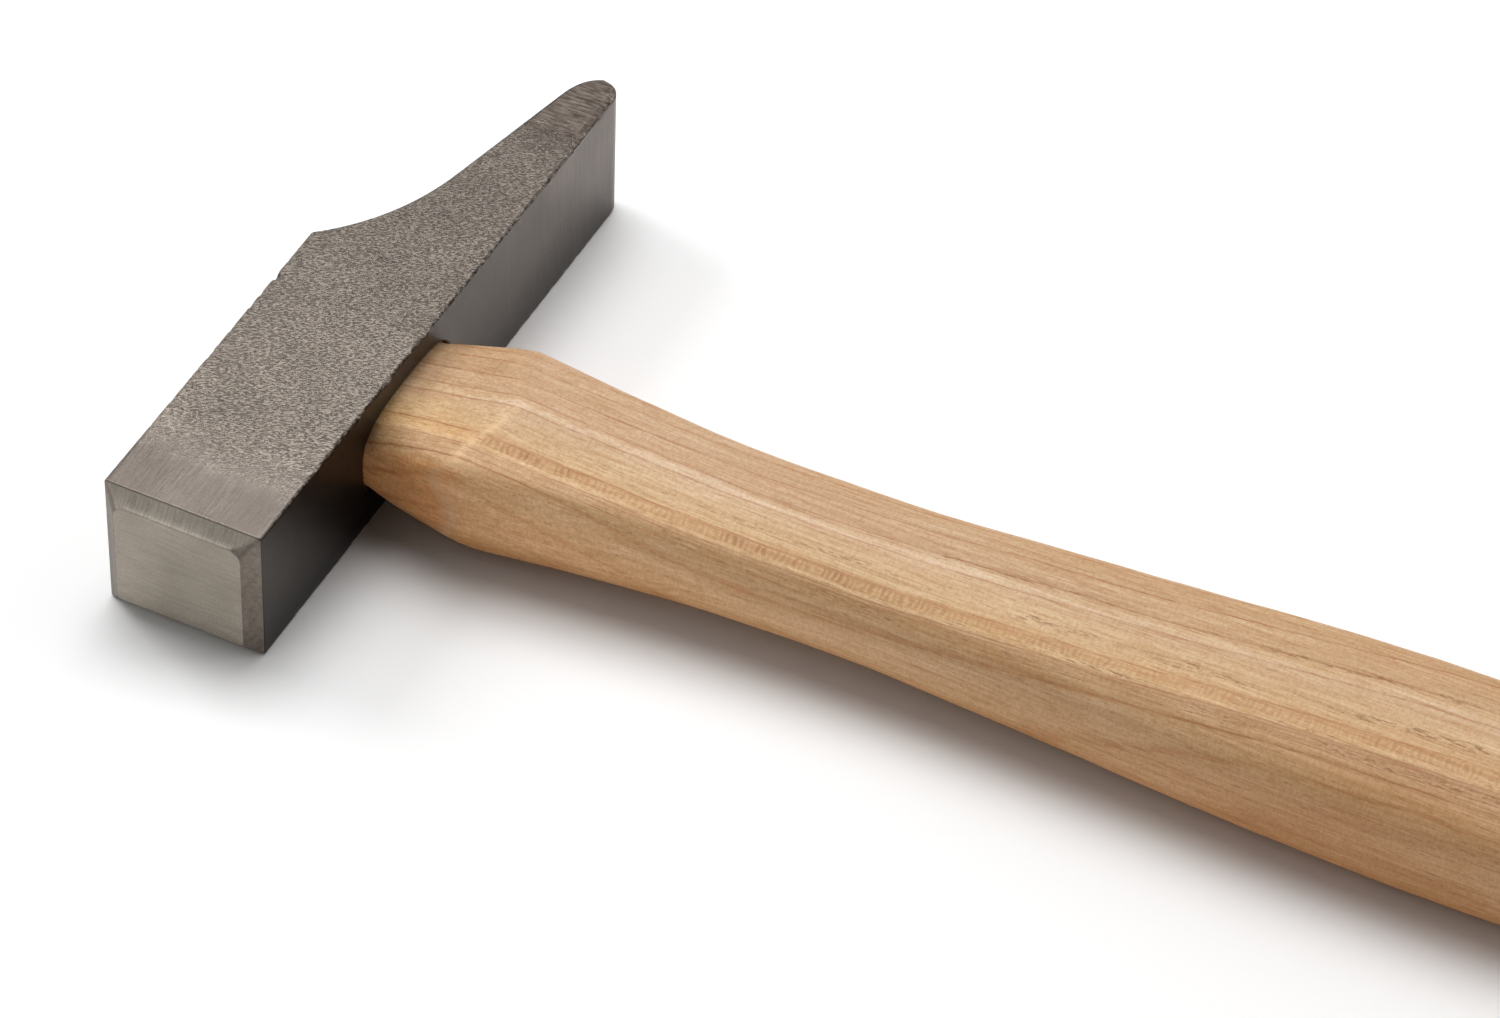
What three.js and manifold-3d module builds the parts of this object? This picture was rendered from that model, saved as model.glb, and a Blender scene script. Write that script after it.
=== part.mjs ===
// Cross-peen chipping hammer: a forged steel head on a wooden handle, held by a wooden wedge
// and two steel cross wedges. Millimetres. +X runs along the handle from the head to the butt,
// +Y along the head from the striking face to the peen, and +Z up from the cheek it lies on.
// The origin is on that lower cheek, directly beneath the middle of the eye.

import * as THREE from 'three';
import { mergeVertices } from 'three/addons/utils/BufferGeometryUtils.js';
import Module from 'manifold-3d';

const wasm = await Module();
wasm.setup();

// Head
const HEAD_DEPTH = 25; // along the handle
const HEAD_THICKNESS = 23; // from cheek to cheek
const FACE_TO_EYE = 43.75;
const EYE_TO_NOSE = 66.7;
const FACE_CHAMFER_SIDE = 2.3;
const FACE_CHAMFER_LENGTH = 2.05;
const EYE_TO_SHOULDER = 16.55;
const SHOULDER_BLUNT = 0.9;
const NOSE_ROUNDING = 3.4;
const SWEEP_BEND = new THREE.Vector2(-3, 25.35);
const SWEEP_END = new THREE.Vector2(-0.2, 37.55);
const TIP_START = new THREE.Vector2(5.1, 61.25);
const TIP_BEND = new THREE.Vector2(6.2, 65.9);
const NOSE_TOP = 9.2;
const HALF_DEPTH = HEAD_DEPTH / 2;
const MID_HEIGHT = HEAD_THICKNESS / 2;

// Eye and tenon: rounded rectangles that widen away from the handle
const EYE_ROUNDNESS = 3;
const NECK_HALF_WIDTH = 12.75;
const NECK_HALF_HEIGHT = 7;
const TENON_END_HALF_WIDTH = 13.3;
const TENON_END_HALF_HEIGHT = 7.7;
const TENON_PROUD = 0.5;
const FIT_GAP = 0.3;
const EYE_SIDES = 40;

// Neck: grows from the eye until it meets the handle's facets in a crease
const NECK_WIDTH_GROWTH = 0.11;
const NECK_HEIGHT_GROWTH = 0.17;
const NECK_REACH = 70;

// Handle body
const HANDLE_END = 287.5;
const HANDLE_LEAN = THREE.MathUtils.degToRad(1.3);
const BUTT_RADIUS = 6;
const HANDLE_SIDES = 40;
const HANDLE_RINGS = 34;
const SHARP_FACETS_AT = 27.5;
const SOFT_FACETS_AT = 92.5;
const FACET_SHARPNESS = 26;
const GRIP_SHARPNESS = 6;

// Distance from the head's middle, half width and half thickness of the handle
const HANDLE_STATIONS = [
  new THREE.Vector3(SHARP_FACETS_AT, 14.25, 10.7),
  new THREE.Vector3(45, 12.7, 9.45),
  new THREE.Vector3(65, 11.95, 8.65),
  new THREE.Vector3(90, 13, 9.25),
  new THREE.Vector3(120, 14.65, 10.6),
  new THREE.Vector3(150, 16.4, 12.1),
  new THREE.Vector3(178, 16.95, 12.6),
  new THREE.Vector3(210, 16.3, 12.2),
  new THREE.Vector3(245, 15.3, 11.6),
  new THREE.Vector3(HANDLE_END - BUTT_RADIUS, 15.9, 11.9),
];

// Corners of the handle's nine-sided section, as shares of its half width and half thickness.
// The ridge along the top lies a little towards the striking face.
const SECTION_CORNERS = [
  new THREE.Vector2(-0.073, 1),
  new THREE.Vector2(-0.972, 0.659),
  new THREE.Vector2(-1, -0.463),
  new THREE.Vector2(-0.9, -0.793),
  new THREE.Vector2(-0.073, -1),
  new THREE.Vector2(0.844, -0.841),
  new THREE.Vector2(0.972, -0.537),
  new THREE.Vector2(0.972, 0.44),
  new THREE.Vector2(0.844, 0.841),
];

// Wedges
const KERF_DEPTH = 20;
const KERF_MOUTH = 3.2;
const KERF_ROOT = 1;
const WOOD_WEDGE_HALF_WIDTH = 12.6;
const STEEL_WEDGE_OFFSET = 5.5;
const STEEL_WEDGE_LENGTH = 9;
const STEEL_WEDGE_WIDTH = 10;
const STEEL_WEDGE_HEAD = 2;
const STEEL_WEDGE_TIP = 0.7;

const STEEL = { color: 0x8a8077, roughness: 0.5, metalness: 0.9 };
const BARE_STEEL = { color: 0xa19b94, roughness: 0.4, metalness: 1 };
const ASH = { color: 0xc99e72, roughness: 0.6, metalness: 0 };
const BEECH = { color: 0xb98a5c, roughness: 0.7, metalness: 0 };

const X_AXIS = new THREE.Vector3(1, 0, 0);
const Y_AXIS = new THREE.Vector3(0, 1, 0);
const Z_AXIS = new THREE.Vector3(0, 0, 1);

function toSolid(geometry) {
  const bare = geometry.clone();
  bare.deleteAttribute('normal');
  bare.deleteAttribute('uv');
  const merged = mergeVertices(bare, 1e-4);
  return new wasm.Manifold(new wasm.Mesh({
    numProp: 3,
    vertProperties: new Float32Array(merged.attributes.position.array),
    triVerts: new Uint32Array(merged.index.array),
  }));
}

function toGeometry(solid) {
  const mesh = solid.getMesh();
  const geometry = new THREE.BufferGeometry();
  geometry.setAttribute('position', new THREE.BufferAttribute(mesh.vertProperties, 3));
  geometry.setIndex(new THREE.BufferAttribute(mesh.triVerts, 1));
  geometry.computeVertexNormals();
  return geometry;
}

function piece(name, geometry, finish) {
  const mesh = new THREE.Mesh(geometry, new THREE.MeshStandardMaterial(finish));
  mesh.name = name;
  return mesh;
}

function extrude(shape, depth) {
  return new THREE.ExtrudeGeometry(shape, { depth, bevelEnabled: false, curveSegments: 12 });
}

// A cylinder along +X whose rings are reshaped: ringAt(i) gives { x, y, z, reach(angle) }.
function loft(ringCount, sides, ringAt) {
  const geometry = new THREE.CylinderGeometry(1, 1, 1, sides, ringCount - 1);
  const basis = new THREE.Matrix4().makeBasis(Z_AXIS, X_AXIS, Y_AXIS);
  geometry.applyMatrix4(basis);
  const position = geometry.attributes.position;
  for (let i = 0; i < position.count; i += 1) {
    const ring = ringAt(Math.round((position.getX(i) + 0.5) * (ringCount - 1)));
    const share = Math.hypot(position.getY(i), position.getZ(i));
    const angle = Math.atan2(position.getZ(i), position.getY(i));
    const [reachY, reachZ] = ring.reach(angle);
    position.setXYZ(i, ring.x, ring.y + share * reachY, ring.z + share * reachZ);
  }
  return toSolid(geometry);
}

// Outline of a rounded rectangle (superellipse) at an angle
function roundedRectangle(halfWidth, halfHeight) {
  return (angle) => {
    const c = Math.cos(angle);
    const s = Math.sin(angle);
    const sum = Math.abs(c) ** EYE_ROUNDNESS + Math.abs(s) ** EYE_ROUNDNESS;
    const reach = sum ** (-1 / EYE_ROUNDNESS);
    return [halfWidth * reach * c, halfHeight * reach * s];
  };
}

// The side of the head in the XY plane: square at the face, swept to a one-sided wedge
// whose straight underside lies flush with the handle side of the head
function headOutline() {
  const face = -FACE_TO_EYE;
  const sweepStart = new THREE.Vector2(-HALF_DEPTH + SHOULDER_BLUNT, EYE_TO_SHOULDER + SHOULDER_BLUNT);
  const outline = new THREE.Shape();
  outline.moveTo(HALF_DEPTH - FACE_CHAMFER_SIDE, face);
  outline.lineTo(HALF_DEPTH, face + FACE_CHAMFER_LENGTH);
  outline.lineTo(HALF_DEPTH, EYE_TO_NOSE - NOSE_ROUNDING);
  outline.quadraticCurveTo(HALF_DEPTH, EYE_TO_NOSE, NOSE_TOP, EYE_TO_NOSE);
  outline.quadraticCurveTo(TIP_BEND.x, TIP_BEND.y, TIP_START.x, TIP_START.y);
  outline.lineTo(SWEEP_END.x, SWEEP_END.y);
  outline.quadraticCurveTo(SWEEP_BEND.x, SWEEP_BEND.y, sweepStart.x, sweepStart.y);
  outline.lineTo(-HALF_DEPTH, EYE_TO_SHOULDER);
  outline.lineTo(-HALF_DEPTH, face + FACE_CHAMFER_LENGTH);
  outline.lineTo(-HALF_DEPTH + FACE_CHAMFER_SIDE, face);
  outline.closePath();
  return outline;
}

// The head seen along the handle: both cheeks are chamfered at the face too
function cheekOutline() {
  const face = -FACE_TO_EYE;
  const outline = new THREE.Shape();
  outline.moveTo(face, FACE_CHAMFER_SIDE);
  outline.lineTo(face + FACE_CHAMFER_LENGTH, 0);
  outline.lineTo(EYE_TO_NOSE + 1, 0);
  outline.lineTo(EYE_TO_NOSE + 1, HEAD_THICKNESS);
  outline.lineTo(face + FACE_CHAMFER_LENGTH, HEAD_THICKNESS);
  outline.lineTo(face, HEAD_THICKNESS - FACE_CHAMFER_SIDE);
  outline.closePath();
  return outline;
}

// The eye's taper, from the far end of the head to its handle side, with some room round it
function taperedEye(room) {
  const overrun = 1;
  const slopeWidth = (NECK_HALF_WIDTH - TENON_END_HALF_WIDTH) / HEAD_DEPTH;
  const slopeHeight = (NECK_HALF_HEIGHT - TENON_END_HALF_HEIGHT) / HEAD_DEPTH;
  return loft(2, EYE_SIDES, (ring) => {
    const x = (HALF_DEPTH + overrun) * (ring === 0 ? -1 : 1);
    const halfWidth = NECK_HALF_WIDTH + slopeWidth * (x - HALF_DEPTH) + room;
    const halfHeight = NECK_HALF_HEIGHT + slopeHeight * (x - HALF_DEPTH) + room;
    return { x, y: 0, z: MID_HEIGHT, reach: roundedRectangle(halfWidth, halfHeight) };
  });
}

function hammerHead() {
  const side = toSolid(extrude(headOutline(), HEAD_THICKNESS));
  const along = extrude(cheekOutline(), HEAD_DEPTH + 2);
  along.applyMatrix4(new THREE.Matrix4().makeBasis(Y_AXIS, Z_AXIS, X_AXIS));
  along.translate(-HALF_DEPTH - 1, 0, 0);
  return side.intersect(toSolid(along)).subtract(taperedEye(FIT_GAP));
}

// The handle leans a little towards the peen from where it leaves the head
function leanAt(x) {
  return Math.tan(HANDLE_LEAN) * Math.max(x - HALF_DEPTH, 0);
}

// The faces between neighbouring corners, each as an outward direction and a distance
function sectionFacets() {
  return SECTION_CORNERS.map((corner, i) => {
    const next = SECTION_CORNERS[(i + 1) % SECTION_CORNERS.length];
    const out = new THREE.Vector2(next.y - corner.y, corner.x - next.x).normalize();
    return { out, distance: out.dot(corner) };
  });
}

const FACETS = sectionFacets();

// Reach of the faceted section at an angle: the higher the sharpness, the crisper its corners
function facetedSection(halfWidth, halfThickness, sharpness) {
  return (angle) => {
    const c = Math.cos(angle);
    const s = Math.sin(angle);
    const sum = FACETS.reduce((total, facet) => {
      const closeness = Math.max(c * facet.out.x + s * facet.out.y, 0) / facet.distance;
      return total + closeness ** sharpness;
    }, 0);
    const reach = sum ** (-1 / sharpness);
    return [halfWidth * reach * c, halfThickness * reach * s];
  };
}

// Rings of the handle from the eye to the butt, the last few rolled over its rounded end
function handleStations() {
  const rings = new THREE.CatmullRomCurve3(HANDLE_STATIONS, false, 'catmullrom', 0.5).getPoints(HANDLE_RINGS);
  const front = rings[0].clone().setX(-HALF_DEPTH - TENON_PROUD);
  const last = rings[rings.length - 1];
  const buttSteps = 4;
  const butt = Array.from({ length: buttSteps }, (_, i) => {
    const turn = ((i + 1) / buttSteps) * (Math.PI / 2);
    const inward = BUTT_RADIUS * (1 - Math.cos(turn));
    return new THREE.Vector3(last.x + BUTT_RADIUS * Math.sin(turn), last.y - inward, last.z - inward);
  });
  return [front, ...rings, ...butt];
}

function handleBody() {
  const stations = handleStations();
  return loft(stations.length, HANDLE_SIDES, (ring) => {
    const { x, y: halfWidth, z: halfThickness } = stations[ring];
    const softness = THREE.MathUtils.smoothstep(x, SHARP_FACETS_AT, SOFT_FACETS_AT);
    const sharpness = THREE.MathUtils.lerp(FACET_SHARPNESS, GRIP_SHARPNESS, softness);
    return {
      x,
      y: leanAt(x),
      z: MID_HEIGHT,
      reach: facetedSection(halfWidth, halfThickness, sharpness),
    };
  });
}

// The tenon and the neck that grows out of it, wider than the body beyond their crease
function tenonAndNeck() {
  const growth = NECK_REACH - HALF_DEPTH;
  const wide = [NECK_HALF_WIDTH + NECK_WIDTH_GROWTH * growth, NECK_HALF_HEIGHT + NECK_HEIGHT_GROWTH * growth];
  const sections = [
    [-HALF_DEPTH - TENON_PROUD, TENON_END_HALF_WIDTH, TENON_END_HALF_HEIGHT],
    [HALF_DEPTH, NECK_HALF_WIDTH, NECK_HALF_HEIGHT],
    [NECK_REACH, ...wide],
    [HANDLE_END + 1, wide[0] * 2, wide[1] * 2],
  ];
  return loft(sections.length, EYE_SIDES, (ring) => {
    const [x, halfWidth, halfHeight] = sections[ring];
    return { x, y: leanAt(x), z: MID_HEIGHT, reach: roundedRectangle(halfWidth, halfHeight) };
  });
}

// A slim wedge that narrows along +X from the tenon's end, before it is turned and placed
function wedgeOutline(length, mouth, root) {
  const start = -HALF_DEPTH - TENON_PROUD;
  const outline = new THREE.Shape();
  outline.moveTo(start, -mouth / 2);
  outline.lineTo(start + length, -root / 2);
  outline.lineTo(start + length, root / 2);
  outline.lineTo(start, mouth / 2);
  outline.closePath();
  return outline;
}

// A wedge lying along the eye's long side
function lengthwiseWedge(halfWidth, length, mouth, root) {
  const geometry = extrude(wedgeOutline(length, mouth, root), halfWidth * 2);
  geometry.applyMatrix4(new THREE.Matrix4().makeBasis(X_AXIS, Z_AXIS, Y_AXIS.clone().negate()));
  geometry.translate(0, halfWidth, MID_HEIGHT);
  return toSolid(geometry);
}

// A wedge driven across the first one, with some room round it
function crossWedge(y, room) {
  const length = STEEL_WEDGE_LENGTH + room;
  const outline = wedgeOutline(length, STEEL_WEDGE_HEAD + 2 * room, STEEL_WEDGE_TIP + 2 * room);
  const width = STEEL_WEDGE_WIDTH + 2 * room;
  const geometry = extrude(outline, width);
  geometry.translate(0, y, MID_HEIGHT - width / 2);
  return toSolid(geometry);
}

const crossPockets = crossWedge(-STEEL_WEDGE_OFFSET, FIT_GAP).add(crossWedge(STEEL_WEDGE_OFFSET, FIT_GAP));

function handle() {
  const kerf = lengthwiseWedge(TENON_END_HALF_WIDTH + 2, KERF_DEPTH, KERF_MOUTH, KERF_ROOT);
  return handleBody().intersect(tenonAndNeck()).subtract(kerf).subtract(crossPockets);
}

function woodenWedge() {
  const thinner = 2 * FIT_GAP;
  const wedge = lengthwiseWedge(WOOD_WEDGE_HALF_WIDTH, KERF_DEPTH - 1, KERF_MOUTH - thinner, KERF_ROOT - thinner);
  return wedge.subtract(crossPockets);
}

const hammer = new THREE.Group();
hammer.add(piece('hammer_head', toGeometry(hammerHead()), STEEL));
hammer.add(piece('handle', toGeometry(handle()), ASH));
hammer.add(piece('wooden_wedge', toGeometry(woodenWedge()), BEECH));
hammer.add(piece('steel_wedge_face_side', toGeometry(crossWedge(-STEEL_WEDGE_OFFSET, 0)), BARE_STEEL));
hammer.add(piece('steel_wedge_peen_side', toGeometry(crossWedge(STEEL_WEDGE_OFFSET, 0)), BARE_STEEL));

export default hammer;
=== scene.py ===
"""Looks of the cross-peen chipping hammer: a forged head, a faceted ash handle and its wedges.

Sizes are in millimetres until a mesh is made, which turns them into metres. The axes are the
frame's: +X along the handle to the butt, +Y from the striking face to the peen, +Z up.
"""
import math

import bpy
import numpy as np
from mathutils import Matrix, Vector


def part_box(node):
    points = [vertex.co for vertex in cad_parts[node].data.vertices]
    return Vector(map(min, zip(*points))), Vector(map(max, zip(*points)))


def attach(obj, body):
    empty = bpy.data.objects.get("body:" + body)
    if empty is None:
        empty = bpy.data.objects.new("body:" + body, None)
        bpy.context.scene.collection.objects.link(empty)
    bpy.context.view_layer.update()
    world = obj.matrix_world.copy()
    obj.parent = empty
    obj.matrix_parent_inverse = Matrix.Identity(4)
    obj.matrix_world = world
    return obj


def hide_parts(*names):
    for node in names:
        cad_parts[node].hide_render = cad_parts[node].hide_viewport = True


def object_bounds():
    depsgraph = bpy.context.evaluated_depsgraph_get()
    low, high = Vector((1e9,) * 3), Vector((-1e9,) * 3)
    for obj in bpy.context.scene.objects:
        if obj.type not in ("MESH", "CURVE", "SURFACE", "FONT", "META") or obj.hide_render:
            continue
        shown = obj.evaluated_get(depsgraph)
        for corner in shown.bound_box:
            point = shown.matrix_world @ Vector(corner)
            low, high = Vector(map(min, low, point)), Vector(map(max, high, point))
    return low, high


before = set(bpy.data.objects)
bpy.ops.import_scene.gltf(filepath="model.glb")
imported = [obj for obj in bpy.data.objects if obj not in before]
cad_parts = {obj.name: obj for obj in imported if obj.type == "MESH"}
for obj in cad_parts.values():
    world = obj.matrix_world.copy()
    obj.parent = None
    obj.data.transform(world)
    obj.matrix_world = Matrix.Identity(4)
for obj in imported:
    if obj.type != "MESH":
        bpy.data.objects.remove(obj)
CAD_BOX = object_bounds()
MM = 0.001
CAD_BOX_MM = np.array(CAD_BOX, float) / MM


def box_mm(node):
    """Lowest and highest corner of a CAD node, in millimetres."""
    low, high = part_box(node)
    return np.array(low) / MM, np.array(high) / MM


HEAD_LOW, HEAD_HIGH = box_mm("hammer_head")
HANDLE_LOW, HANDLE_HIGH = box_mm("handle")
FACE_Y = HEAD_LOW[1]
NOSE_Y = HEAD_HIGH[1]
HALF_DEPTH = HEAD_HIGH[0]
THICKNESS = HEAD_HIGH[2]
MID_Z = THICKNESS / 2
TENON_END = HANDLE_LOW[0]
BUTT_END = HANDLE_HIGH[0]

# Head: the chamfers round the face, the swept peen, and how far it is rounded or hollowed
CHAMFER_SIDE = 2.3
CHAMFER_LENGTH = 2.05
BODY_START = FACE_Y + CHAMFER_LENGTH
SHOULDER_Y = 16.55
SHOULDER_BLUNT = 0.9
SWEEP_BEND = (-3.0, 25.35)
SWEEP_END = (-0.2, 37.55)
TIP_START = (5.1, 61.25)
TIP_BEND = (6.2, 65.9)
NOSE_TOP = 9.2
NOSE_ROUNDING = 3.4
CHEEK_HOLLOW = 0.4
SIDE_HOLLOW = 0.08
FACE_CROWN = 0.12
FACE_CORNER = 2.1
LOW_FACE_CORNER = 0.5
BODY_CORNER = 0.42
BURR_REACH = 0.2
HEAD_RING_STEP = 0.42

# Forging: pairs are where something starts and is full, or fades and ends, along y
ROUGH_START, ROUGH_END = (-31, -24), (50, 56)
DENT_START, WORN_START = (-40, -30), (-38, -26)
BURR_START, BURR_END = (-34, -26), (52, 58)
ROUGH_DEPTH, SMOOTH_DEPTH = 0.06, 0.02
WAVE_DEPTH, PEBBLE_DEPTH = 0.04, 0.04
BEVEL_START, BEVEL_WIDTH, BEVEL_SLOPE = (44, 54), 1.3, 0.3
EDGE_REACH, FAR_EDGE_REACH = 0.55, 0.6
UPPER_DENT, LOWER_DENT = 0.28, 0.1
NICK_Y, NICK_DEPTH, NICK_WIDTH = 6, 1.6, 0.6
WORN_DEPTH, CHIP_SHARE, BURR_DEPTH, SIDEWAYS_SHARE = 0.5, 0.4, 0.9, 0.6

# Forging noise: waves per millimetre, and a seed for each
WAVE_SCALE, PEBBLE_SCALE, WORN_SCALE = 0.11, 1.1, 0.9
RAGGED_SCALES, LIP_SCALE = ((1.0, 0.8, 1.0), (1.9, 1.7, 1.9)), (1.3, 1.1, 1.3)
WAVE_SEED, PEBBLE_SEED, RAGGED_SEEDS, WORN_SEED, LIP_SEED = 3, 5, (8, 9), 12, 14

# Eye, tenon and neck; pairs are half width, half height
EYE_ROUNDNESS = 3
NECK_HALF = (12.75, 7.0)
TENON_HALF = (13.3, 7.7)
NECK_GROWTH = (0.104, 0.19)
NECK_TILT = 0.0085
NECK_REACH = 22.0
NECK_END = HALF_DEPTH + 17.0
FACE_SIDE_BOXINESS = 0.36
PEEN_SIDE_BOXINESS = 0.16
EYE_GAP = 0.28
EYE_LEAD_IN = 0.5
CREASE_ROUNDING = 0.09
CREASE_REACH = 0.13

# Handle: stations are x, half width, half height; corners are those of a section one unit each way
LEAN = math.tan(math.radians(1.3))
STATIONS = (
    (27.5, 14.25, 10.7),
    (45.0, 12.7, 9.45),
    (65.0, 11.95, 8.65),
    (90.0, 13.0, 9.25),
    (120.0, 14.65, 10.6),
    (150.0, 16.4, 12.1),
    (178.0, 16.95, 12.6),
    (210.0, 16.3, 12.2),
    (245.0, 15.3, 11.6),
    (281.5, 15.9, 11.9),
)
SECTION_CORNERS = (
    (-0.073, 1.0),
    (-0.6, 0.83),
    (-0.86, 0.755),
    (-0.945, 0.64),
    (-1.0, 0.2),
    (-1.0, -0.463),
    (-0.9, -0.793),
    (-0.073, -1.0),
    (0.844, -0.841),
    (0.972, -0.537),
    (0.972, 0.44),
    (0.844, 0.841),
)
SHARP_AT, SOFT_AT = 27.5, 92.5
FACET_SHARPNESS, GRIP_SHARPNESS = 70.0, 7.0
BUTT_RADIUS = 6.0
SHAVING_DEPTH = 0.16
SHAVING_SCALES = ((0.035, 0.12, 0.12), (0.12, 0.3, 0.3))
SHAVING_START = (14, 22)
SHAVING_SEEDS = (21, 22)
FINE_FROM, FINE_TO, FINE_STEP, COARSE_STEP = 11.4, 40, 0.36, 1.0

# Wedges
KERF_DEPTH, KERF_MOUTH, KERF_ROOT = 20.0, 3.2, 1.0
CROSS_OFFSET, CROSS_LENGTH, CROSS_WIDTH = 5.5, 9.0, 10.0
CROSS_HEAD, CROSS_TIP = 2.0, 0.7
WEDGE_CLEARANCE = 0.06
BEECH_END_GAP, BEECH_SIDE_GAP, BEECH_FACE_GAP = 0.1, 0.35, 0.05
BEECH_SQUARENESS, STEEL_SQUARENESS = 12, 14
BARB_DEPTH, BARB_ROWS = 0.14, 6

# Studio: lights are name, azimuth, elevation, size in metres and watts
LIT_POINT = Vector((0.06, 0, 0))
LIGHTS = (
    ("overhead_softbox", 122, 66, 0.6, 7.2),
    ("left_softbox", 170, 36, 0.42, 4.4),
    ("right_low_fill", 20, 15, 0.8, 4.4),
    ("right_high_fill", 55, 35, 0.8, 3.2),
    ("front_card", 222, 36, 1.2, 2.8),
)
WORLD_STRENGTH = 0.03
FLOOR_HALF_SIZE = 3000
FLOOR_GREY = 0.9
CAMERA_AZIMUTH, CAMERA_ELEVATION, CAMERA_ROLL = 24.865, 44.665, 2.398
CAMERA_AIM_MM = (64.3, 6.1, MID_Z)
CAMERA_DISTANCE = 0.8543
CAMERA_LENS, CAMERA_SENSOR = 144.91, 36


# ---------------- numbers and noise

NOISE_GAIN = 1.6


def smoothstep(low, high, value):
    """0 below low, 1 above high, and a smooth step between them."""
    t = np.clip((value - low) / (high - low), 0, 1)
    return t * t * (3 - 2 * t)


def gradient_noise(points, seed):
    """Perlin noise, about -1 to 1, at an array of points."""
    rng = np.random.default_rng(seed)
    table = rng.permutation(256)
    slopes = rng.normal(size=(256, 3))
    slopes /= np.linalg.norm(slopes, axis=1)[:, None]
    cell = np.floor(points).astype(int)
    part = points - cell
    fade = part**3 * (part * (part * 6 - 15) + 10)
    total = np.zeros(len(points))
    for corner in np.ndindex(2, 2, 2):
        at = cell + corner
        index = table[(table[(table[at[:, 0] % 256] + at[:, 1]) % 256] + at[:, 2]) % 256]
        dot = ((part - corner) * slopes[index]).sum(1)
        weight = np.prod(np.where(corner, fade, 1 - fade), axis=1)
        total += weight * dot
    return total * NOISE_GAIN


def bezier(start, bend, end, t):
    """A quadratic curve with one bend point."""
    start, bend, end = (np.array(p, float) for p in (start, bend, end))
    t = np.asarray(t)[:, None]
    return (1 - t) ** 2 * start + 2 * (1 - t) * t * bend + t**2 * end


def along(points, count):
    """count points evenly spaced along a polyline."""
    points = np.asarray(points, float)
    steps = np.linalg.norm(np.diff(points, axis=0), axis=1)
    travelled = np.r_[0, np.cumsum(steps)]
    at = np.linspace(0, travelled[-1], count)
    return np.stack([np.interp(at, travelled, points[:, i]) for i in range(points.shape[1])], 1)


def mesh_object(name, vertices_mm, faces, smooth=True):
    """A new mesh in the scene, from millimetres."""
    mesh = bpy.data.meshes.new(name)
    mesh.from_pydata((np.asarray(vertices_mm) * MM).tolist(), [], faces)
    mesh.update()
    if smooth:
        mesh.shade_smooth()
    piece = bpy.data.objects.new(name, mesh)
    bpy.context.scene.collection.objects.link(piece)
    return piece


def tube_faces(ring_count, side_count):
    """Quads of a closed loft of rings, with an n-gon on each end."""
    faces = []
    for i in range(ring_count - 1):
        ring, following = i * side_count, (i + 1) * side_count
        for j in range(side_count):
            k = (j + 1) % side_count
            faces.append((ring + j, ring + k, following + k, following + j))
    last = (ring_count - 1) * side_count
    faces.append(tuple(reversed(range(side_count))))
    faces.append(tuple(last + j for j in range(side_count)))
    return faces


def cut(piece, cutter):
    """Takes the cutter's volume out of the piece and removes the cutter."""
    modifier = piece.modifiers.new("cut", "BOOLEAN")
    modifier.operation = "DIFFERENCE"
    modifier.solver = "EXACT"
    modifier.object = cutter
    with bpy.context.temp_override(object=piece, active_object=piece, selected_objects=[piece]):
        bpy.ops.object.modifier_apply(modifier=modifier.name)
    bpy.data.objects.remove(cutter)


def superellipse_ray(half, ray, roundness=EYE_ROUNDNESS):
    """Distance from the centre to a superellipse along a ray."""
    c, s = np.abs(np.cos(ray)) / half[0], np.abs(np.sin(ray)) / half[1]
    return (c**roundness + s**roundness) ** (-1 / roundness)


# ---------------- head

def spaced(low, high, step, fine=0.14, fine_length=0.7):
    """Positions from low to high, closer together near both ends."""
    ends = np.arange(0, fine_length, fine)
    middle = np.linspace(low + fine_length, high - fine_length, max(2, round((high - low) / step)))
    return np.r_[low + ends, middle, high - ends[::-1]]


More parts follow.
